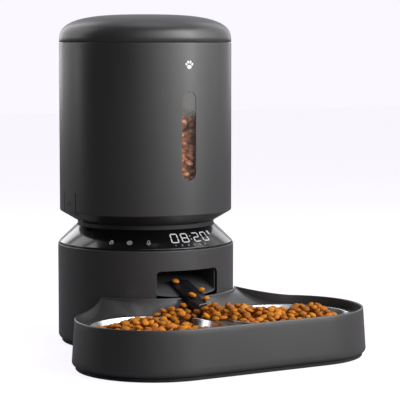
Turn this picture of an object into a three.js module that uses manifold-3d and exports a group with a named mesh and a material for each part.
// Automatic pet feeder: a round tower (base, hopper and lid) with a two-bowl tray that hooks round its front.
// Millimetres, +Z up. The origin is on the floor, under the middle of the whole feeder's outline.
// Every group inside "feeder" uses the tower's frame: its axis is x = 0, y = 0, and the front faces -Y.
import * as THREE from "three";
import { mergeVertices } from "three/addons/utils/BufferGeometryUtils.js";
import Module from "manifold-3d";

const wasm = await Module();
wasm.setup();

// ---------- Driving dimensions ----------
const gap = 0.4; // between neighbouring pieces
const wall = 2.6; // moulded shells
const roundness = 36; // sides of the large turned pieces

// Tower heights, stacked from the floor up
const footHeight = 3.5;
const baseShellHeight = 104.7;
const coneHeight = 20.5;
const neckStandUp = 3.9; // the neck's height above the cone
const undersideHeight = 11; // the hopper's sloping underside
const barrelHeight = 183.8;
const lidHeight = 30.4;

// Tower radii
const barrelRadius = 95;
const baseStep = 2.3; // how far the base stands out past the barrel
const undersideStep = 19.6; // how far the barrel overhangs the neck
const neckWall = 4;

// Food outlet in the base, and the port that drops food to it
const outletWidth = 76;
const outletHeight = 31;
const outletTop = 87.2;
const outletCorner = 6;
const portRadius = 13;

// Rotor and its drive
const rotorHeight = 20;
const vaneCount = 6;
const hexAcross = 12; // drive dog, across flats
const gearModule = 1.8;
const gearToPort = 11.6; // from the drive gear's pitch circle to the port's edge
const driveTeeth = 26;
const idlerTeeth = 22;
const pinionTeeth = 9;
const gearWidth = 5;

// Hopper window
const windowWidth = 17;
const windowHeight = 94.6;
const windowRise = 37.4; // above the barrel's lower edge

// Release latches at the hopper's two sides
const latchWidth = 25.2;
const latchHeight = 22.6;
const latchSlit = 1.3; // beside each latch

// Batteries: three D cells
const cellRadius = 16.8;
const cellLength = 60;
const cellCount = 3;

// Tray: a stadium plan whose back reaches round the tower as a raised collar
const trayRimHeight = 51.1;
const collarHeight = 59;
const bowlToTower = 9.5; // between a bowl's lip and the base
const trayDraft = 2.9; // the wall leans in by this much, from floor to rim
const collarAngle = 59; // degrees each side of the front
const collarFillet = 160; // radius that blends the collar into the tray's ends
const ledgeHeight = 41; // the shelf that carries the bowls' lips
const bowlRadius = 73;
const bowlDepth = 32;
const bowlGap = 14; // between the two lips
const bowlMargin = 11.8; // from a lip to the tray's outer wall at the floor

// ---------- Levels and radii worked out from them ----------
const baseRadius = barrelRadius + baseStep;
const shellLow = footHeight + gap;
const shellHigh = shellLow + baseShellHeight;
const coneLow = shellHigh + 0.9;
const coneHigh = coneLow + coneHeight;
const neckHigh = coneHigh + neckStandUp;
const undersideLow = neckHigh + gap;
const barrelLow = undersideLow + undersideHeight;
const barrelHigh = barrelLow + barrelHeight;
const lidLow = barrelHigh + gap;

const shellInner = baseRadius - wall;
const barrelInner = barrelRadius - wall;
const neckRadius = barrelRadius - undersideStep;
const neckInner = neckRadius - neckWall;
const frameThick = 3;
const deckDrop = 12.9; // from the cone's top down to the underside of the frame's deck
const frameLow = coneHigh - deckDrop;
const frameHigh = frameLow + frameThick;
const frameRadius = neckRadius + 4;
const plateThick = 3;
const plateRadius = baseRadius - 14;

const portOffset = (driveTeeth * gearModule) / 2 + gearToPort + portRadius; // forward of the axis
const rotorRadius = portOffset + portRadius - gap;
const hopperFloorThick = 2.5;
const hopperFloorLow = frameHigh + 5.2;
const hopperFloorHigh = hopperFloorLow + hopperFloorThick;
const rotorLow = hopperFloorHigh + gap;
const rotorHigh = rotorLow + rotorHeight;
const pocketRadius = rotorRadius + 0.9;
const chamberRadius = pocketRadius + 2.5;

const windowLow = barrelLow + windowRise;
const windowHigh = windowLow + windowHeight;
const bowlSpacing = 2 * bowlRadius + bowlGap;
const trayEndRadius = bowlRadius + bowlMargin;
const trayEndOffset = bowlSpacing / 2 - gap; // of each round end from the middle
const trayCentreY = -Math.sqrt((baseRadius + bowlToTower + bowlRadius) ** 2 - (bowlSpacing / 2) ** 2);
const trayFrontY = trayCentreY - trayEndRadius;
const feederMiddleY = (trayFrontY + baseRadius) / 2;
const towerClearance = baseRadius + 0.75;

// ---------- Materials ----------
const material = (color, roughness, metalness = 0) =>
  new THREE.MeshStandardMaterial({ color, roughness, metalness });
const graphite = material(0x4a4b4d, 0.55);
const blackPlastic = material(0x161617, 0.6);
const pianoBlack = material(0x08090a, 0.12);
const innerGrey = material(0x35363a, 0.7);
const clearPlastic = new THREE.MeshStandardMaterial({
  color: 0xb9b6b0, roughness: 0.15, transparent: true, opacity: 0.4,
});
const rubber = material(0x0c0c0d, 0.9);
const silicone = material(0xb9bcbe, 0.7);
const steel = material(0xc9ccd0, 0.22, 1);
const acetal = material(0xe6e3da, 0.5);
const brass = material(0xb89a4a, 0.35, 1);
const boardGreen = material(0x1f5a3a, 0.6);
const cellWrap = material(0x33424f, 0.4);
const sachetPaper = material(0xeeeeea, 0.9);

// ---------- Helpers ----------
const radians = THREE.MathUtils.degToRad;
const point = (x, y) => new THREE.Vector2(x, y);

// A closed mesh as a manifold-3d solid, for cuts and joins.
function solidOf(geometry) {
  const bare = geometry.clone();
  bare.deleteAttribute("normal");
  bare.deleteAttribute("uv");
  const merged = mergeVertices(bare, 1e-4);
  return new wasm.Manifold(
    new wasm.Mesh({
      numProp: 3,
      vertProperties: merged.attributes.position.array,
      triVerts: new Uint32Array(merged.index.array),
    }),
  );
}

function geometryOf(solid) {
  const mesh = solid.getMesh();
  const positions = new Float32Array(mesh.numVert * 3);
  for (let i = 0; i < mesh.numVert; i++)
    positions.set(mesh.vertProperties.subarray(i * mesh.numProp, i * mesh.numProp + 3), i * 3);
  return new THREE.BufferGeometry()
    .setAttribute("position", new THREE.BufferAttribute(positions, 3))
    .setIndex(new THREE.BufferAttribute(new Uint32Array(mesh.triVerts), 1));
}

const cut = (body, ...tools) =>
  geometryOf(tools.reduce((left, tool) => left.subtract(solidOf(tool)), solidOf(body)));
const join = (body, ...more) =>
  geometryOf(more.reduce((sum, piece) => sum.add(solidOf(piece)), solidOf(body)));
const common = (a, b) => geometryOf(solidOf(a).intersect(solidOf(b)));

// A profile of [radius, height] pairs turned about the vertical axis. It may start and end on the axis.
function turned(profile, segments = roundness) {
  const area = profile.reduce((sum, [r, z], i) => {
    const [nextR, nextZ] = profile[(i + 1) % profile.length];
    return sum + r * nextZ - nextR * z;
  }, 0);
  const ordered = area > 0 ? profile : [...profile].reverse();
  const open = ordered[0][0] === 0 && ordered.at(-1)[0] === 0;
  const points = ordered.map(([r, z]) => point(r, z));
  if (!open) points.push(points[0].clone());
  return new THREE.LatheGeometry(points, segments).rotateX(Math.PI / 2);
}

const disc = (radius, low, high, segments = 24) =>
  turned([[0, low], [radius, low], [radius, high], [0, high]], segments);
const ring = (inner, outer, low, high, segments = roundness) =>
  turned([[inner, low], [outer, low], [outer, high], [inner, high]], segments);
const box = (x0, x1, y0, y1, z0, z1) =>
  new THREE.BoxGeometry(x1 - x0, y1 - y0, z1 - z0)
    .translate((x0 + x1) / 2, (y0 + y1) / 2, (z0 + z1) / 2);

// A flat outline in X and Y, standing from low to high.
const prism = (shape, low, high, curveSegments = 6) =>
  new THREE.ExtrudeGeometry(shape, { depth: high - low, bevelEnabled: false, curveSegments })
    .translate(0, 0, low);
// An outline of [y, z] pairs, as wide as x0 to x1.
const sideProfile = (outline, x0, x1) =>
  new THREE.ExtrudeGeometry(new THREE.Shape(outline.map(([y, z]) => point(y, z))), {
    depth: x1 - x0, bevelEnabled: false,
  })
    .rotateX(Math.PI / 2)
    .rotateZ(Math.PI / 2)
    .translate(x0, 0, 0);

function roundedRectangle(width, height, corner) {
  const x = width / 2;
  const y = height / 2;
  const shape = new THREE.Shape();
  shape.absarc(x - corner, y - corner, corner, 0, Math.PI / 2);
  shape.absarc(corner - x, y - corner, corner, Math.PI / 2, Math.PI);
  shape.absarc(corner - x, corner - y, corner, Math.PI, 1.5 * Math.PI);
  shape.absarc(x - corner, corner - y, corner, 1.5 * Math.PI, 2 * Math.PI);
  return shape;
}

// A rounded rectangle in X and Z, bored through the tower's front wall.
const frontCutter = (width, low, high, corner, yNear, yFar, curveSegments = 5) =>
  new THREE.ExtrudeGeometry(roundedRectangle(width, high - low, corner), {
    depth: yFar - yNear, bevelEnabled: false, curveSegments,
  })
    .rotateX(Math.PI / 2)
    .translate(0, yFar, (low + high) / 2);

// Rings of equally many points, joined in order. A closed loft joins the last ring to the first.
function loft(rings) {
  const count = rings[0].length;
  const positions = rings.flat().flatMap((p) => [p.x, p.y, p.z]);
  const index = [];
  rings.forEach((_, k) => {
    const next = (k + 1) % rings.length;
    for (let i = 0; i < count; i++) {
      const j = (i + 1) % count;
      index.push(k * count + i, k * count + j, next * count + j);
      index.push(k * count + i, next * count + j, next * count + i);
    }
  });
  return new THREE.BufferGeometry()
    .setAttribute("position", new THREE.BufferAttribute(new Float32Array(positions), 3))
    .setIndex(index);
}

function node(name, geometry, look) {
  const mesh = new THREE.Mesh(geometry, look);
  mesh.name = name;
  return mesh;
}

// ---------- Base: shell, plate, feet, cone and frame ----------
const flangeInner = plateRadius + gap;
const edgeRound = 4;
const jackHeight = 22;
const jackWidth = 11;
const speakerAngle = 135; // from the front, towards +X
const speakerHeight = 70;
const grilleSlots = 5;
const slotWidth = 2;
const slotLength = 18;
const slotPitch = 4.5;

function baseShell() {
  const rounding = [0, 30, 60, 90].map((angle) => [
    baseRadius - edgeRound + edgeRound * Math.sin(radians(angle)),
    shellLow + edgeRound - edgeRound * Math.cos(radians(angle)),
  ]);
  const shell = turned([
    [flangeInner, shellLow], ...rounding,
    [baseRadius, shellHigh], [shellInner, shellHigh],
    [shellInner, shellLow + plateThick], [flangeInner, shellLow + plateThick],
  ]);
  const outlet = frontCutter(
    outletWidth, outletTop - outletHeight, outletTop, outletCorner, -baseRadius - 5, -baseRadius / 2,
  );
  const jackRoom = jackWidth / 2 + gap;
  const jackHole = box(-jackRoom, jackRoom, shellInner - 5, baseRadius + 5,
    jackHeight - jackRoom, jackHeight + jackRoom);
  const slots = Array.from({ length: grilleSlots }, (_, i) =>
    box(
      (i - (grilleSlots - 1) / 2) * slotPitch - slotWidth / 2,
      (i - (grilleSlots - 1) / 2) * slotPitch + slotWidth / 2,
      -baseRadius - 2, -baseRadius + 3 * wall,
      speakerHeight - slotLength / 2, speakerHeight + slotLength / 2,
    ).rotateZ(radians(speakerAngle)));
  return cut(shell, outlet, jackHole, ...slots);
}

const cellPitch = 2 * cellRadius + 0.6;
const bayX = (cellCount * cellPitch) / 2 + 0.8;
const bayY = cellLength / 2 + 3.4;
const bayWall = 2;
const bayHigh = shellLow + plateThick + 2 * cellRadius + 3.4;
const doorX = bayX - 1;
const doorY = bayY - 1;
const legRadius = 4.5;
const legX = bayX + bayWall + 1 + legRadius;
const legY = 25;
const screwRadius = 1.6;

const legPlaces = [[legX, legY], [-legX, legY], [-legX, -legY], [legX, -legY]];

// The countersunk head of a plate screw, or its seat when it is grown by a clearance.
const headRadius = 2.8;
const headDepth = 1.4;
const headLow = shellLow + 0.6;
const screwHead = (spare, low = headLow) =>
  turned([
    [0, low], [headRadius + spare, low], [headRadius + spare, headLow + spare],
    [screwRadius - 0.2 + spare, headLow + headDepth + spare], [0, headLow + headDepth + spare],
  ], 12);

const basePlate = () =>
  cut(
    disc(plateRadius, shellLow, shellLow + plateThick, roundness),
    box(-doorX - gap, doorX + gap, -doorY - gap, doorY + gap, 0, shellLow + plateThick + 1),
    ...legPlaces.map(([x, y]) =>
      disc(screwRadius + gap, 0, shellLow + plateThick + 1, 12).translate(x, y, 0)),
    ...legPlaces.map(([x, y]) => screwHead(gap, shellLow - 1).translate(x, y, 0)),
  );

const coneSlope = (baseRadius - neckRadius - 0.3) / coneHeight;
const coneSkin = wall * Math.hypot(1, coneSlope);
const spigotDepth = 5;

// The sloping shoulder: a glossy shell whose spigot drops inside the base shell.
const controlCone = () =>
  turned([
    [baseRadius - 0.2, coneLow], [neckRadius + gap, coneHigh],
    [neckRadius + gap, coneHigh - coneSkin],
    [shellInner - gap - wall, coneLow + 0.4],
    [shellInner - gap - wall, coneLow - spigotDepth],
    [shellInner - gap, coneLow - spigotDepth], [shellInner - gap, coneLow],
  ]);

const fingerWidth = 12;
const notchDepth = 2.6;
const shaftRadius = 6;

// The frame under the cone: four legs, a deck with the food port, and the neck that the hopper sits in.
function turretFrame() {
  const deck = disc(frameRadius, frameLow, frameHigh, 40);
  const neck = ring(neckInner, neckRadius, frameLow + 1, neckHigh);
  const collar = ring(portRadius + 0.5, portRadius + 3, frameLow + 1, hopperFloorLow - gap, 24)
    .translate(0, -portOffset, 0);
  const legs = legPlaces.map(([x, y]) =>
    disc(legRadius, shellLow + plateThick + gap, frameLow + 1, 12).translate(x, y, 0));
  const body = join(deck, neck, collar, ...legs);
  const notch = (side) =>
    box(side * neckInner - notchDepth, side * neckInner + notchDepth,
      -fingerWidth / 2 - 1, fingerWidth / 2 + 1, frameHigh + 4, neckHigh + 1);
  return cut(
    body, notch(1), notch(-1),
    disc(shaftRadius + 3, frameLow - 1, frameHigh + 1, 20),
    disc(portRadius + 0.5, frameLow - 1, hopperFloorLow, 24).translate(0, -portOffset, 0),
    ...legPlaces.map(([x, y]) => disc(screwRadius + 0.2, 0, 20, 12).translate(x, y, 0)),
  );
}

const footInset = 1.6;
const footWidth = 9;
const footOuter = baseRadius - footInset - edgeRound / 2;
const towerFoot = () => ring(footOuter - footWidth, footOuter, 0, footHeight);

// The bush in the frame's deck that the drive gear's shaft turns in.
const bushWall = 2.2;
const axleBush = () =>
  turned([
    [shaftRadius + gap, frameLow - 0.3], [shaftRadius + gap + bushWall, frameLow - 0.3],
    [shaftRadius + gap + bushWall, frameHigh + gap], [shaftRadius + bushWall + 2.5, frameHigh + gap],
    [shaftRadius + bushWall + 2.5, frameHigh + gap + 1.2], [shaftRadius + gap, frameHigh + gap + 1.2],
  ], 20);

const screwLength = 12;
const plateScrew = () =>
  join(screwHead(0), disc(screwRadius - 0.2, headLow + 0.5, headLow + screwLength, 12));

// ---------- Chute from the port to the outlet ----------
const chuteSkin = 2;
const chuteHalf = outletWidth / 2 - 0.3;
const chuteBack = -portOffset + portRadius + 4.4;
const chuteTop = frameLow - gap - 0.2;
const floorBend = [-64, 73.3];
const floorLip = 60.2; // the floor's height where it meets the shell
const floorBack = 77.8;

// The chute seen from the front: as wide as the outlet below, and narrowing to the port above.
function chuteFront(inset) {
  const low = chuteHalf - inset;
  const high = portRadius + 6 - inset;
  const shoulder = outletTop + 2;
  return new THREE.ExtrudeGeometry(
    new THREE.Shape([
      point(-low, 0), point(low, 0), point(low, shoulder),
      point(high, chuteTop + 1), point(-high, chuteTop + 1), point(-low, shoulder),
    ]),
    { depth: baseRadius + 10, bevelEnabled: false },
  ).rotateX(Math.PI / 2);
}

function chute() {
  const front = -shellInner - 6;
  const lipSlope = (floorBend[1] - floorLip) / (floorBend[0] + shellInner);
  const frontLevel = floorBend[1] + lipSlope * (front - floorBend[0]);
  const inside = [
    [chuteBack - chuteSkin, chuteTop - chuteSkin], [chuteBack - chuteSkin, floorBack],
    floorBend, [front, frontLevel], [front, outletTop + 1],
    [-shellInner + 4, outletTop + 1], [-portOffset - portRadius - 5, chuteTop - chuteSkin],
  ];
  const outside = [
    [chuteBack, chuteTop], [chuteBack, floorBack - chuteSkin],
    [floorBend[0], floorBend[1] - chuteSkin], [front, frontLevel - chuteSkin - 0.3],
    [front, outletTop + 1 + chuteSkin], [-shellInner + 4, outletTop + 1 + chuteSkin],
    [-portOffset - portRadius - 5, chuteTop],
  ];
  const outer = common(sideProfile(outside, -chuteHalf, chuteHalf), chuteFront(0));
  const hollow = common(
    sideProfile(inside, -chuteHalf + chuteSkin, chuteHalf - chuteSkin), chuteFront(chuteSkin),
  );
  return cut(
    common(outer, disc(shellInner - gap, 0, chuteTop + 5, roundness)),
    hollow,
    disc(portRadius + 1, chuteTop - 10, chuteTop + 1, 24).translate(0, -portOffset, 0),
  );
}

// ---------- Motor and gear train ----------
const pitchRadius = (teeth) => (teeth * gearModule) / 2;
const idlerY = pitchRadius(driveTeeth) + pitchRadius(pinionTeeth);
const motorY = idlerY + pitchRadius(idlerTeeth) + pitchRadius(pinionTeeth);
const gearboxLow = frameLow - 19.6;
const gearboxSkin = 2;
const lowGear = gearboxLow + 4;
const highGear = lowGear + gearWidth + 1;
const gearboxHigh = highGear + gearWidth + 1.2;
const coverHigh = gearboxHigh + gap + 1.8;
const idlerShaft = 2.4;

// Straight-sided teeth, thin enough to run with backlash.
function gear(teeth, low, high, turn = 0) {
  const pitch = pitchRadius(teeth);
  const step = (2 * Math.PI) / teeth;
  const corners = [
    [-0.3, pitch - 1.2 * gearModule], [-0.11, pitch + 0.75 * gearModule],
    [0.11, pitch + 0.75 * gearModule], [0.3, pitch - 1.2 * gearModule],
  ];
  const outline = Array.from({ length: teeth }, (_, i) =>
    corners.map(([share, radius]) => {
      const angle = turn + (i + share) * step;
      return point(radius * Math.sin(angle), radius * Math.cos(angle));
    })).flat().reverse();
  return prism(new THREE.Shape(outline), low, high);
}

const halfTooth = (teeth) => Math.PI / teeth;
const driveGear = () =>
  join(
    gear(driveTeeth, highGear, highGear + gearWidth),
    disc(shaftRadius, gearboxLow + gearboxSkin + gap, frameHigh + 3, 16),
    disc(hexAcross / Math.sqrt(3), frameHigh + 2.2, rotorLow + 12, 6),
  );
const idlerGear = () =>
  join(
    gear(idlerTeeth, lowGear, lowGear + gearWidth, Math.PI),
    gear(pinionTeeth, highGear - 1, highGear + gearWidth, Math.PI + halfTooth(pinionTeeth)),
    disc(idlerShaft, gearboxLow + gearboxSkin + gap, gearboxHigh, 12),
  );
const pinionShaft = 1.6;
const motorPinion = () =>
  join(
    gear(pinionTeeth, lowGear, lowGear + gearWidth, Math.PI + halfTooth(pinionTeeth)),
    disc(pinionShaft, gearboxLow - 0.1, lowGear + 1, 10),
  );

const gearRoom = 2.4; // from a gear's pitch circle to the housing's wall
const motorRadius = 13.5;
const motorLength = 38;

// The housing's plan: tangent arcs round the drive gear, the idler and the motor pinion.
function gearboxPlan(spare) {
  const circles = [
    [0, pitchRadius(driveTeeth) + gearRoom + spare],
    [idlerY, pitchRadius(idlerTeeth) + gearRoom + spare],
    [motorY, motorRadius + spare],
  ];
  const shape = new THREE.Shape();
  const lean = circles.slice(1).map(([y, r], i) => Math.asin((circles[i][1] - r) / (y - circles[i][0])));
  const arc = ([y, r], from, to) => shape.absarc(0, y, r, from, to);
  arc(circles[0], Math.PI - lean[0], 2 * Math.PI + lean[0]);
  arc(circles[1], lean[0], lean[1]);
  arc(circles[2], lean[1], Math.PI - lean[1]);
  arc(circles[1], Math.PI - lean[1], Math.PI - lean[0]);
  return shape;
}

const gearboxHousing = () =>
  cut(
    prism(gearboxPlan(gearboxSkin), gearboxLow, gearboxHigh, 8),
    prism(gearboxPlan(0), gearboxLow + gearboxSkin, gearboxHigh + 1, 8),
    disc(pinionShaft + gap, gearboxLow - 1, gearboxLow + 5, 12).translate(0, motorY, 0),
  );
const gearboxCover = () =>
  cut(
    prism(gearboxPlan(gearboxSkin), gearboxHigh + gap, coverHigh, 8),
    disc(shaftRadius + 0.6, gearboxHigh - 1, coverHigh + 1, 20),
  );
const motorCan = () =>
  turned([
    [0, gearboxLow - gap - motorLength - 2], [4, gearboxLow - gap - motorLength - 2],
    [4, gearboxLow - gap - motorLength], [motorRadius, gearboxLow - gap - motorLength],
    [motorRadius, gearboxLow - gap], [0, gearboxLow - gap],
  ], 24).translate(0, motorY, 0);

// ---------- Electrics ----------
const bay = () =>
  cut(
    join(
      box(-bayX - bayWall, bayX + bayWall, -bayY - bayWall, bayY + bayWall,
        shellLow + plateThick + gap, bayHigh + bayWall),
      ...[[1, 1], [-1, 1], [-1, -1], [1, -1]].map(([x, y]) =>
        disc(2.5, bayHigh + 1, bayHigh + bayWall + postHeight, 8)
          .translate(x * (boardX - 4), y * (boardY - 4), 0)),
    ),
    box(-bayX, bayX, -bayY, bayY, 0, bayHigh),
  );
const cellHeight = shellLow + plateThick + cellRadius + 2.2;
const cell = (i) =>
  turned([
    [0, -cellLength / 2], [cellRadius, -cellLength / 2], [cellRadius, cellLength / 2 - 1.5],
    [4.8, cellLength / 2 - 1.5], [4.8, cellLength / 2], [0, cellLength / 2],
  ], 20)
    .rotateX(i % 2 ? -Math.PI / 2 : Math.PI / 2)
    .translate((i - (cellCount - 1) / 2) * cellPitch, 0, cellHeight);
const contactThick = 0.6;
const contact = (side) => {
  const y = side * (cellLength / 2 + 1.4);
  return box(-bayX + 2, bayX - 2, y - contactThick / 2, y + contactThick / 2, cellHeight - 7, cellHeight + 7);
};
const hingeRadius = plateThick / 2;
const doorThumb = 16;
const hingeY = doorY - hingeRadius;
const hingeZ = shellLow + hingeRadius;
// The battery door: its back edge is a half-round hinge roll, and its front has a thumb recess.
function batteryDoor() {
  const roll = [-90, -60, -30, 0, 30, 60, 90].map((angle) => [
    hingeY + hingeRadius * Math.cos(radians(angle)), hingeZ + hingeRadius * Math.sin(radians(angle)),
  ]);
  return cut(
    sideProfile([[-doorY, shellLow], ...roll, [-doorY, shellLow + plateThick]], -doorX, doorX),
    box(-doorThumb / 2, doorThumb / 2, -doorY + 2, -doorY + 8, shellLow - 1, shellLow + 1.4),
  );
}

// A board that lies against the inside of the cone, at an angle round the tower.
function coneBoard(width, thick, angle, slant, radius, height) {
  return new THREE.BoxGeometry(width, thick, slant)
    .rotateX(-Math.atan(coneSlope))
    .translate(0, -radius, height)
    .rotateZ(radians(angle));
}
const boardRadius = (baseRadius + neckRadius) / 2 - 4.4;
const boardHeight = coneLow + 2.4;
const boardSlant = 10;
const boardThick = 1.6;
const displayAngle = 8.8;
const displayThick = 4;
const touchAngle = -40.4;
const displayModule = () =>
  coneBoard(52, displayThick, displayAngle, boardSlant, boardRadius - 1, boardHeight);
const touchBoard = () => coneBoard(42, boardThick, touchAngle, boardSlant, boardRadius, boardHeight);
// The main board stands on four posts on the battery bay's roof.
const boardX = 34;
const boardY = 26;
const postHeight = 4;
const mainBoardLow = bayHigh + bayWall + postHeight + gap;
const mainBoard = () => box(-boardX, boardX, -boardY, boardY, mainBoardLow, mainBoardLow + boardThick);
// The power inlet: a block that fills its hole in the shell, with a round socket and a centre pin.
const jackDepth = 14;
const socketRadius = 3.2;
const socketDepth = 10;
const jackPinRadius = 1;
function jack() {
  const face = baseRadius - 0.8;
  const rod = (radius, length, front) =>
    disc(radius, 0, length, 16).rotateX(-Math.PI / 2).translate(0, front - length, jackHeight);
  return join(
    cut(
      box(-jackWidth / 2, jackWidth / 2, face - jackDepth, face,
        jackHeight - jackWidth / 2, jackHeight + jackWidth / 2),
      rod(socketRadius, socketDepth, face + 1),
    ),
    rod(jackPinRadius, socketDepth, face - 1),
  );
}
const speaker = () =>
  turned([
    [0, 0], [9, 0], [9, 3.4], [14, 3.4], [14, 6], [12.5, 6], [6, 4.6], [0, 4.6],
  ], 20)
    .rotateX(Math.PI / 2)
    .translate(0, -(shellInner - 11), speakerHeight)
    .rotateZ(radians(speakerAngle));

const microphone = () =>
  disc(3, 0, 2.6, 14)
    .rotateX(Math.PI / 2)
    .translate(0, -(shellInner - 3.6), speakerHeight + 24)
    .rotateZ(radians(speakerAngle));

// ---------- Hopper ----------
const flangeThick = 2.4;
const lipRadius = neckInner + 0.4;
const undersideSkin = wall;

function hopperBody() {
  return turned([
    [lipRadius, undersideLow], [neckRadius + 0.9, undersideLow],
    [barrelRadius, barrelLow], [barrelRadius, barrelHigh], [barrelInner, barrelHigh],
    [barrelInner, barrelLow + undersideSkin * 0.6],
    [neckRadius, undersideLow + flangeThick], [lipRadius, undersideLow + flangeThick],
  ]);
}

const latchTop = barrelLow + latchHeight;
// The slot in which a latch sits. side is +1 or -1 along X.
const latchSlot = (side) => {
  const near = lipRadius - 3;
  const far = barrelRadius + 3;
  const x = [side * near, side * far].sort((a, b) => a - b);
  const half = latchWidth / 2 + latchSlit;
  return box(x[0], x[1], -half, half, undersideLow - 2, latchTop + gap);
};

const windowCorner = windowWidth / 2;
const windowCutter = (spare, near, far) =>
  frontCutter(windowWidth + 2 * spare, windowLow - spare, windowHigh + spare, windowCorner + spare - 0.01,
    near, far, 8);

const hopperShell = () =>
  cut(hopperBody(), windowCutter(0, -barrelRadius - 5, -barrelInner + 5), latchSlot(1), latchSlot(-1));

// A clear plug that fills the slot, with a flange behind the barrel's wall.
function hopperWindow() {
  const plug = common(
    windowCutter(-gap, -barrelRadius - 5, -barrelInner + 9),
    ring(barrelInner - 1.6, barrelRadius - 0.5, windowLow - 9, windowHigh + 9),
  );
  const flange = common(
    windowCutter(windowFlange, -barrelRadius - 5, -barrelInner + 9),
    ring(barrelInner - 2.8, barrelInner - 0.6, windowLow - 9, windowHigh + 9),
  );
  return join(plug, flange);
}

const funnelSkin = 2.2;
const funnelRim = 3;
const windowFlange = 4;
const funnelLow = rotorHigh + 2;
const funnelHigh = windowLow - windowFlange - gap - funnelRim;
const hubHole = 10;
const seatLow = undersideLow + flangeThick + gap;
const flangeRise = 1.6; // how much higher the funnel's flange is at its edge
// The inner tank floor: the rotor's chamber, its flange on the hopper's lip, and the funnel above.
function hopperFunnel() {
  const rimOuter = barrelInner - gap;
  const rimInner = rimOuter - funnelSkin;
  const body = turned([
    [hubHole, hopperFloorLow], [chamberRadius, hopperFloorLow],
    [chamberRadius, seatLow], [neckRadius + 2, seatLow + flangeRise],
    [neckRadius + 2, seatLow + flangeThick + flangeRise], [chamberRadius, seatLow + flangeThick],
    [chamberRadius, funnelLow - 1], [rimOuter, funnelHigh],
    [rimOuter, funnelHigh + funnelRim], [rimInner, funnelHigh + funnelRim],
    [rimInner, funnelHigh + 1],
    [pocketRadius, funnelLow + 1], [pocketRadius, hopperFloorHigh], [hubHole, hopperFloorHigh],
  ]);
  const latchRelief = (side) => {
    const x = [side * (chamberRadius + 0.3), side * (barrelInner - 13)].sort((a, b) => a - b);
    const half = latchWidth / 2 + 2;
    return box(x[0], x[1], -half, half, undersideLow, undersideLow + 12);
  };
  return cut(
    body, latchRelief(1), latchRelief(-1),
    disc(portRadius, hopperFloorLow - 1, hopperFloorHigh + 1, 24).translate(0, -portOffset, 0),
  );
}

// A shelf over the port, so that only the pocket below it empties.
const shieldAngle = 34;
function portionShield() {
  const shape = new THREE.Shape();
  const from = radians(-90 - shieldAngle);
  const to = radians(-90 + shieldAngle);
  shape.absarc(0, 0, pocketRadius - 1, from, to);
  shape.absarc(0, 0, 14, to, from, true);
  return prism(shape, rotorHigh + 0.6, rotorHigh + 2.4, 8);
}

// The latch: a flap of the barrel's own wall and underside, with a finger that drops inside the neck.
const fingerThick = 3.6;
const armRise = 0.3;
const armThick = 3.3;
function latch(side) {
  const span = (near, far) => [side * near, side * far].sort((a, b) => a - b);
  const flapX = span(neckRadius + 1.2, barrelRadius + 3);
  const flap = common(
    hopperBody(),
    box(flapX[0], flapX[1], -latchWidth / 2, latchWidth / 2, undersideLow, latchTop),
  );
  const halfWidth = fingerWidth / 2;
  const armHigh = undersideLow + armRise + armThick;
  const armX = span(neckInner - fingerThick / 2, neckRadius + 6);
  const arm = box(armX[0], armX[1], -halfWidth, halfWidth, undersideLow + armRise, armHigh);
  const fingerX = span(neckInner - fingerThick / 2, neckInner + fingerThick / 2 + 0.2);
  const finger = box(fingerX[0], fingerX[1], -halfWidth, halfWidth, frameHigh + 6, armHigh);
  return join(flap, arm, finger);
}

// ---------- Rotor ----------
const hubRadius = 9.4;
const vaneThick = 2.6;
function rotor() {
  const hub = disc(hubRadius, rotorLow, rotorHigh, 24);
  const vanes = Array.from({ length: vaneCount }, (_, i) =>
    box(hubRadius - 1, rotorRadius, -vaneThick / 2, vaneThick / 2, rotorLow, rotorHigh)
      .rotateZ((2 * Math.PI * (i + 0.5)) / vaneCount));
  return cut(
    join(hub, ...vanes),
    disc(hexAcross / Math.sqrt(3) + 0.45, rotorLow - 1, rotorLow + 13, 6),
  );
}
const stirrerReach = 42;
const stirrerShort = 0.6; // the upper pair of fingers against the lower pair
const stirrerFinger = 2.2;
// The stirrer stands on the rotor's hub and keeps the food above it moving.
const stirrer = () =>
  join(
    disc(5.5, rotorHigh + gap, rotorHigh + 18, 16),
    disc(stirrerFinger, -stirrerReach, stirrerReach, 10)
      .rotateY(Math.PI / 2).translate(0, 0, rotorHigh + 9),
    disc(stirrerFinger, -stirrerReach * stirrerShort, stirrerReach * stirrerShort, 10)
      .rotateX(Math.PI / 2).translate(0, 0, rotorHigh + 14),
  );

// ---------- Lid ----------
const lidSkin = 2.4;
const domePower = 3; // exponent of the lid's superellipse section
const domeProfile = (radius, height, base, steps) =>
  Array.from({ length: steps + 1 }, (_, i) => {
    const t = (Math.PI / 2) * (1 - (1 - i / steps) ** 1.25);
    return i === steps
      ? [0, base + height]
      : [radius * Math.cos(t) ** (2 / domePower), base + height * Math.sin(t) ** (2 / domePower)];
  });
const lidShell = () =>
  turned([
    ...domeProfile(barrelRadius - 0.1, lidHeight, lidLow, 9),
    ...domeProfile(barrelRadius - 0.1 - lidSkin, lidHeight - lidSkin, lidLow, 5).reverse(),
  ]);

const linerDepth = 12;
const linerRadius = barrelInner - 0.8;
const linerTop = lidLow + 1.2;
const sealGroove = 1.6;
const sealLow = barrelHigh - 8;
const sealHeight = 3;
const linerLow = barrelHigh - linerDepth;
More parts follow.
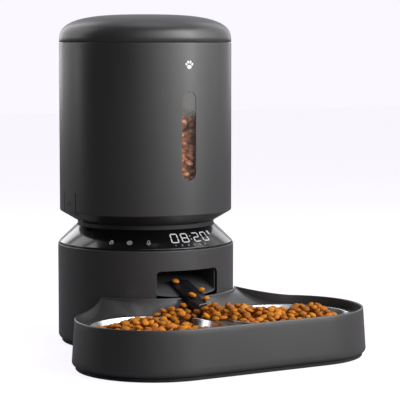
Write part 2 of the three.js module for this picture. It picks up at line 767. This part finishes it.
// The liner closes the dome from below: a flat plate with a skirt that plugs the barrel's mouth.
const lidLiner = () =>
  turned([
    [0, linerTop - 2.2], [linerRadius - 3.4, linerTop - 2.2], [linerRadius - 3.4, linerLow],
    [linerRadius, linerLow], [linerRadius, sealLow], [linerRadius - sealGroove, sealLow],
    [linerRadius - sealGroove, sealLow + sealHeight], [linerRadius, sealLow + sealHeight],
    [linerRadius, linerTop], [0, linerTop],
  ]);
const lidSeal = () =>
  turned([
    [linerRadius - sealGroove + 0.25, sealLow + 0.3], [linerRadius + 0.2, sealLow + 0.3],
    [linerRadius + 0.55, sealLow + sealHeight / 2], [linerRadius + 0.2, sealLow + sealHeight - 0.3],
    [linerRadius - sealGroove + 0.25, sealLow + sealHeight - 0.3],
  ]);
const boxRadius = 30;
const boxHigh = linerTop - 2.2 - gap;
const boxLow = boxHigh - 16;
const desiccantBox = () =>
  turned([
    [0, boxHigh - 1.8], [boxRadius - 1.8, boxHigh - 1.8], [boxRadius - 1.8, boxLow],
    [boxRadius, boxLow], [boxRadius, boxHigh], [0, boxHigh],
  ], 32);
const capThick = 2.4;
const capHigh = boxLow - gap;
const capLow = capHigh - capThick;
const ventHalf = 1.2; // half the width of a vent slot
const ventReach = 0.55; // a slot's length against the cap's chord
function desiccantCap() {
  const plate = turned([
    [0, capLow], [boxRadius, capLow], [boxRadius, capHigh], [boxRadius - 2.4, capHigh],
    [boxRadius - 2.4, boxLow + 2], [boxRadius - 4, boxLow + 2], [boxRadius - 4, capHigh],
    [0, capHigh],
  ], 32);
  const slots = [-16, -8, 0, 8, 16].map((x) => {
    const reach = ventReach * Math.sqrt(boxRadius ** 2 - x ** 2);
    return box(x - ventHalf, x + ventHalf, -reach, reach, capLow - 1, boxLow + 1);
  });
  const grip = box(-boxRadius + 10, boxRadius - 10, 19, 21.5, capLow - 4, capLow + 0.5);
  return join(cut(plate, ...slots), grip);
}
const desiccantPack = () => {
  const half = (boxRadius - 6) * Math.SQRT1_2;
  return prism(roundedRectangle(2 * half, 2 * half, 4), boxLow + 3, boxLow + 11);
};

// ---------- Tray ----------
// Middle of each blending fillet, found from where the collar ends on the tower.
const endDistance = collarFillet + trayEndRadius - trayDraft;
function filletCentre() {
  const start = point(
    towerClearance * Math.sin(radians(collarAngle)), -towerClearance * Math.cos(radians(collarAngle)));
  const end = point(trayEndOffset, trayCentreY);
  const away = start.distanceTo(end);
  const heading = Math.atan2(start.x - end.x, start.y - end.y);
  const turn = Math.acos((away ** 2 + endDistance ** 2 - collarFillet ** 2) / (2 * away * endDistance));
  return point(
    end.x + endDistance * Math.sin(heading + turn), end.y + endDistance * Math.cos(heading + turn));
}

// Points of the tray's outline, anticlockwise from above.
// inset moves it inwards, and endRadius sets its ends.
function trayOutline(inset, endRadius) {
  const centre = filletCentre();
  const end = point(trayEndOffset, trayCentreY);
  const towerArc = towerClearance + inset;
  const ends = endRadius - inset;
  const fillet = endDistance - endRadius + inset;
  // Where the tower's arc meets the fillet's arc
  const far = centre.length();
  const spread = Math.acos((far ** 2 + towerArc ** 2 - fillet ** 2) / (2 * far * towerArc));
  const meetAngle = Math.atan2(centre.y, centre.x) - spread;
  const meet = point(towerArc * Math.cos(meetAngle), towerArc * Math.sin(meetAngle));
  const arc = (middle, radius, from, to, steps) =>
    Array.from({ length: steps + 1 }, (_, i) => {
      const angle = from + ((to - from) * i) / steps;
      return point(middle.x + radius * Math.cos(angle), middle.y + radius * Math.sin(angle));
    });
  const tangent = Math.atan2(centre.y - end.y, centre.x - end.x);
  const filletFrom = Math.atan2(end.y - centre.y, end.x - centre.x);
  const filletTo = Math.atan2(meet.y - centre.y, meet.x - centre.x) - 2 * Math.PI;
  const right = [
    ...arc(end, ends, -Math.PI / 2, tangent, 15),
    ...arc(centre, fillet, filletFrom, filletFrom + wrap(filletTo - filletFrom), 6).slice(1),
  ];
  const front = arc(point(0, 0), towerArc, meetAngle, -Math.PI - meetAngle, 14).slice(1, -1);
  const left = right.map((p) => point(-p.x, p.y)).reverse();
  return [...right, ...front, ...left];
}
const wrap = (angle) => Math.atan2(Math.sin(angle), Math.cos(angle));

const swoopFar = 162; // distance from the tower's axis at which the collar has come down to the rim
const swoopPower = 1.35;
const rimLevel = (x, y) => {
  const share = (swoopFar - Math.hypot(x, y)) / (swoopFar - towerClearance);
  return trayRimHeight + (collarHeight - trayRimHeight) * Math.min(1, Math.max(0, share)) ** swoopPower;
};
const trayLow = footHeight + gap;
const trayWall = 2.6;
const rimRadius = trayEndRadius - trayDraft;
const at = (outline, level) =>
  outline.map((p) => new THREE.Vector3(p.x, p.y, typeof level === "number" ? level : level(p.x, p.y)));

// The outer wall, from the rounded foot up to the rim and down inside.
function trayWalls() {
  const outer = [0, 40, 90].map((angle) =>
    at(trayOutline(edgeRound * (1 - Math.sin(radians(angle))), trayEndRadius),
      trayLow + edgeRound * (1 - Math.cos(radians(angle)))));
  return loft([
    ...outer,
    at(trayOutline(0, rimRadius), (x, y) => rimLevel(x, y) - 0.8),
    at(trayOutline(0.8, rimRadius), rimLevel),
    at(trayOutline(trayWall - 0.8, rimRadius), rimLevel),
    at(trayOutline(trayWall, rimRadius), (x, y) => rimLevel(x, y) - 0.8),
    at(trayOutline(trayWall + 2.2, trayEndRadius), trayLow + edgeRound),
    at(trayOutline(trayWall + 2.2, trayEndRadius), trayLow),
  ]);
}

const bowlPlaces = [-bowlSpacing / 2, bowlSpacing / 2];
const shelfThick = 3;
const rimStep = 0.4; // from the rim down to the deck
// Height of the sloping deck between the tower and the bowls' lips.
function deckLevel(x, y) {
  const toBowl = Math.min(...bowlPlaces.map((bx) => Math.hypot(x - bx, y - trayCentreY))) - bowlRadius;
  const toTower = Math.max(0, Math.hypot(x, y) - towerClearance);
  const share = Math.max(0, toBowl) / (Math.max(0, toBowl) + toTower + 1e-6);
  const level = ledgeHeight + (collarHeight - ledgeHeight) * share ** 1.2;
  return Math.min(level, rimLevel(x, y) - rimStep);
}

// The deck's body: a fan of columns round the tower, from under the shelf up to the deck's level.
function trayDeck() {
  const spokes = 22;
  const reach = [0, 4, 10, 18, 30, 46, 62];
  const under = ledgeHeight - shelfThick + 0.5;
  const widest = radians(collarAngle + 14);
  const rows = reach.map((r) =>
    Array.from({ length: spokes + 1 }, (_, i) => {
      const angle = -widest + (2 * widest * i) / spokes;
      const radius = towerClearance + 1 + r;
      const x = radius * Math.sin(angle);
      const y = -radius * Math.cos(angle);
      return new THREE.Vector3(x, y, deckLevel(x, y));
    }));
  const low = (p) => new THREE.Vector3(p.x, p.y, under);
  const positions = [];
  const index = [];
  const quad = (a, b, c, d) => {
    const first = positions.length / 3;
    [a, b, c, d].forEach((p) => positions.push(p.x, p.y, p.z));
    index.push(first, first + 1, first + 2, first, first + 2, first + 3);
  };
  for (let k = 0; k + 1 < rows.length; k++)
    for (let i = 0; i < spokes; i++) {
      const [a, b, c, d] = [rows[k][i], rows[k][i + 1], rows[k + 1][i + 1], rows[k + 1][i]];
      quad(a, d, c, b);
      quad(low(a), low(b), low(c), low(d));
    }
  for (let i = 0; i < spokes; i++) {
    quad(rows[0][i], rows[0][i + 1], low(rows[0][i + 1]), low(rows[0][i]));
    quad(rows.at(-1)[i + 1], rows.at(-1)[i], low(rows.at(-1)[i]), low(rows.at(-1)[i + 1]));
  }
  for (let k = 0; k + 1 < rows.length; k++) {
    quad(rows[k + 1][0], rows[k][0], low(rows[k][0]), low(rows[k + 1][0]));
    quad(rows[k][spokes], rows[k + 1][spokes], low(rows[k + 1][spokes]), low(rows[k][spokes]));
  }
  return new THREE.BufferGeometry()
    .setAttribute("position", new THREE.BufferAttribute(new Float32Array(positions), 3))
    .setIndex(index);
}

function trayBody() {
  const inside = new THREE.Shape(trayOutline(trayWall - 0.6, rimRadius));
  const shelf = prism(inside, ledgeHeight - shelfThick, ledgeHeight);
  const deck = common(trayDeck(), prism(inside, ledgeHeight - 2 * shelfThick, collarHeight + 5));
  return cut(
    join(trayWalls(), shelf, deck),
    ...bowlPlaces.map((x) =>
      turned([
        [0, 0], [bowlRadius - 2.8, 0], [bowlRadius - 2.8, ledgeHeight], [bowlRadius + 0.6, ledgeHeight],
        [bowlRadius + 0.6, collarHeight + 10], [0, collarHeight + 10],
      ], 40).translate(x, trayCentreY, 0)),
  );
}

const footStrip = 7;
const trayFoot = () =>
  loft([
    at(trayOutline(footInset + edgeRound / 2, trayEndRadius), 0),
    at(trayOutline(footInset + edgeRound / 2, trayEndRadius), footHeight),
    at(trayOutline(footInset + edgeRound / 2 + footStrip, trayEndRadius), footHeight),
    at(trayOutline(footInset + edgeRound / 2 + footStrip, trayEndRadius), 0),
  ]);

const bowlSkin = 0.9;
const lipLow = ledgeHeight + 0.3;
const bowlFloor = lipLow + 1 - bowlDepth;
const bowl = (x) =>
  turned([
    [0, bowlFloor - bowlSkin], [bowlRadius - 21, bowlFloor - bowlSkin], [bowlRadius - 13, bowlFloor + 2.4],
    [bowlRadius - 9, bowlFloor + 9.5], [bowlRadius - 4.2, lipLow], [bowlRadius, lipLow],
    [bowlRadius, lipLow + bowlSkin], [bowlRadius - 3.6, lipLow + bowlSkin + 0.2],
    [bowlRadius - 5, lipLow + 0.2], [bowlRadius - 9.9, bowlFloor + 9.7], [bowlRadius - 13.7, bowlFloor + 3.2],
    [bowlRadius - 21.3, bowlFloor], [0, bowlFloor],
  ], 40).translate(x, trayCentreY, 0);

// The splitter: a roofed tongue that carries food off the chute and parts it between the bowls.
const splitterBack = -72;
const splitterNose = trayCentreY + 33;
function splitter() {
  const seat = (y) => deckLevel(0, y) + 2 * gap;
  const overCollar = -towerClearance - trayWall - 1;
  // y, half width, edge height, ridge above the edge, underside
  const sections = [
    [splitterBack, 12, floorLevel(splitterBack) + 3, 2, floorLevel(splitterBack) + 0.8],
    [-shellInner, 12, 65, 4, floorLip + 1.6],
    [overCollar + trayWall + 2, 12, 64, 4.4, collarHeight + gap],
    [overCollar, 12, 63, 4.4, collarHeight + gap],
    [overCollar - 4, 12, 61.8, 4.4, seat(overCollar - 4)],
    [splitterNose + 12, 11.5, 58, 4.2, seat(splitterNose + 12)],
    [splitterNose, 8, 54, 1.6, seat(splitterNose)],
  ];
  const outlines = sections.map(([y, half, edge, ridge, under]) => [
    new THREE.Vector3(-half, y, under), new THREE.Vector3(half, y, under),
    new THREE.Vector3(half, y, edge), new THREE.Vector3(0, y, edge + ridge),
    new THREE.Vector3(-half, y, edge),
  ]);
  const positions = outlines.flat().flatMap((p) => [p.x, p.y, p.z]);
  const index = [];
  const sides = 5;
  for (let k = 0; k + 1 < outlines.length; k++)
    for (let i = 0; i < sides; i++) {
      const j = (i + 1) % sides;
      const [a, b, c, d] = [k * sides + i, k * sides + j, (k + 1) * sides + j, (k + 1) * sides + i];
      index.push(a, b, c, a, c, d);
    }
  const last = (outlines.length - 1) * sides;
  for (let i = 1; i + 1 < sides; i++) {
    index.push(0, i + 1, i);
    index.push(last, last + i, last + i + 1);
  }
  return new THREE.BufferGeometry()
    .setAttribute("position", new THREE.BufferAttribute(new Float32Array(positions), 3))
    .setIndex(index);
}
function floorLevel(y) {
  return floorBend[1] + ((floorBend[1] - floorLip) / (floorBend[0] + shellInner)) * (y - floorBend[0]);
}

// ---------- Assembly ----------
const group = (...children) => new THREE.Group().add(...children);

const feeder = group(
  group( // base
    node("base_shell", baseShell(), graphite),
    node("base_plate", basePlate(), blackPlastic),
    node("tower_foot_ring", towerFoot(), rubber),
    node("control_cone", controlCone(), pianoBlack),
    node("turret_frame", turretFrame(), blackPlastic),
    node("chute", chute(), blackPlastic),
    node("axle_bush", axleBush(), brass),
    node("gearbox_housing", gearboxHousing(), innerGrey),
    node("gearbox_cover", gearboxCover(), innerGrey),
    node("motor_can", motorCan(), steel),
    node("battery_bay", bay(), innerGrey),
    ...Array.from({ length: cellCount }, (_, i) => node(`battery_cell_${i + 1}`, cell(i), cellWrap)),
    node("battery_contact_front", contact(-1), steel),
    node("battery_contact_rear", contact(1), steel),
    node("display_module", displayModule(), blackPlastic),
    node("touch_board", touchBoard(), boardGreen),
    node("main_board", mainBoard(), boardGreen),
    node("power_jack", jack(), blackPlastic),
    node("speaker", speaker(), blackPlastic),
    node("microphone", microphone(), steel),
    ...legPlaces.map(([x, y], i) => {
      const screw = node(`plate_screw_${i + 1}`, plateScrew(), steel);
      screw.position.set(x, y, 0);
      return screw;
    }),
  ),
  node("battery_door", batteryDoor(), blackPlastic),
  group( // drive
    node("drive_gear", driveGear(), acetal),
    node("idler_gear", idlerGear().translate(0, idlerY, 0), acetal),
    node("motor_pinion", motorPinion().translate(0, motorY, 0), brass),
  ),
  group( // hopper
    node("hopper_shell", hopperShell(), graphite),
    node("hopper_window", hopperWindow(), clearPlastic),
    node("hopper_funnel", hopperFunnel(), innerGrey),
    node("portion_shield", portionShield(), silicone),
    node("latch_left", latch(-1), graphite),
    node("latch_right", latch(1), graphite),
    node("rotor", rotor(), acetal),
    node("stirrer", stirrer(), silicone),
  ),
  group( // lid
    node("lid_shell", lidShell(), graphite),
    node("lid_liner", lidLiner(), innerGrey),
    node("lid_seal", lidSeal(), silicone),
    node("desiccant_box", desiccantBox(), innerGrey),
    node("desiccant_cap", desiccantCap(), innerGrey),
    node("desiccant_pack", desiccantPack(), sachetPaper),
  ),
  group( // tray
    node("tray_body", trayBody(), graphite),
    node("tray_foot_ring", trayFoot(), rubber),
    node("splitter", splitter(), pianoBlack),
    node("bowl_left", bowl(bowlPlaces[0]), steel),
    node("bowl_right", bowl(bowlPlaces[1]), steel),
  ),
);
feeder.position.y = -feederMiddleY;

export default group(feeder);
